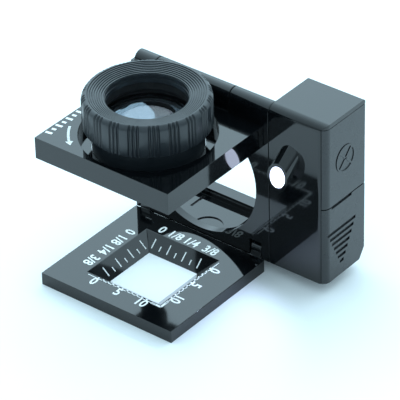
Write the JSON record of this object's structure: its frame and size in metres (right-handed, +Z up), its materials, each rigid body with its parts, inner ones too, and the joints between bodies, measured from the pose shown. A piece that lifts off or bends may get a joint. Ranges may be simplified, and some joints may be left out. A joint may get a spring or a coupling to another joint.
{
  "type": "folding hand lens",
  "caption": "Folding hand lens with a base plate window, fold-over lens plate, knurled focusing ring, upright stand and a side housing with a lamp, switch and button cells.",
  "frame": {"origin": "on the optical axis of the lens, in the plane of the base plate's underside", "axes": "+Z up along the optical axis, +X to the lamp housing, -Y to the front"},
  "size_m": [0.0392, 0.0359, 0.0357],
  "materials": {
    "plate_plastic": "moulded, polished",
    "frame_plastic": "moulded, polished",
    "housing_plastic": "moulded, polished",
    "ring_plastic": "moulded, satin",
    "lens_glass": "polished",
    "pin_steel": "drawn wire",
    "contact_steel": "plated strip",
    "cell_steel": "pressed, plated",
    "lamp_epoxy": "clear, cast",
    "board_laminate": "laminate",
    "switch_plastic": "moulded"
  },
  "bodies": {
    "stand": {"upright_frame": "frame_plastic", "top_hinge_pin": "pin_steel", "base_hinge_pins": "pin_steel", "lamp_housing": "housing_plastic", "side_cover": "housing_plastic", "led_shroud": "housing_plastic", "led": "lamp_epoxy", "led_leads": "pin_steel", "circuit_board": "board_laminate", "resistor": "board_laminate", "switch_body": "switch_plastic", "button_cells": "cell_steel", "battery_spring": "contact_steel", "positive_contact": "contact_steel", "contact_strip": "contact_steel"},
    "base": {"base_plate": "plate_plastic"},
    "plate": {"lens_plate": "plate_plastic"},
    "cell": {"lens_cell": "ring_plastic", "upper_lens": "lens_glass", "lower_lens": "lens_glass", "lens_spacer": "ring_plastic", "lens_retainer": "ring_plastic"},
    "ring": {"focus_ring": "ring_plastic"},
    "door": {"battery_door": "housing_plastic"},
    "switch": {"switch_slider": "switch_plastic"}
  },
  "joints": [
    {"name": "lens_plate_fold", "type": "hinge", "parent": "stand", "child": "plate", "pos_m": [0, 0.0137, 0.0308], "axis": [-1, 0, 0], "range_deg": [0, 270]},
    {"name": "base_fold", "type": "hinge", "parent": "stand", "child": "base", "pos_m": [0, 0.0134, 0.0036], "axis": [-1, 0, 0], "range_deg": [0, 90]},
    {"name": "focus_travel", "type": "slide", "parent": "plate", "child": "cell", "axis": [0, 0, -1], "range_m": [0, 0.0037]},
    {"name": "focus_turn", "type": "hinge", "parent": "cell", "child": "ring", "pos_m": [0, 0, 0.03], "axis": [0, 0, -1], "range_deg": [0, 360]},
    {"name": "battery_door_slide", "type": "slide", "parent": "stand", "child": "door", "axis": [0, 0, -1], "range_m": [0, 0.014]},
    {"name": "switch_slide", "type": "slide", "parent": "stand", "child": "switch", "axis": [0, 0, -1], "range_m": [0, 0.002]}
  ],
  "couplings": [
    {"joint": "base_fold", "follows": "lens_plate_fold", "ratio": 0.33333},
    {"joint": "focus_travel", "follows": "lens_plate_fold", "m_per_rad": 0.0007851},
    {"joint": "focus_turn", "follows": "lens_plate_fold", "ratio": 1.3333}
  ]
}
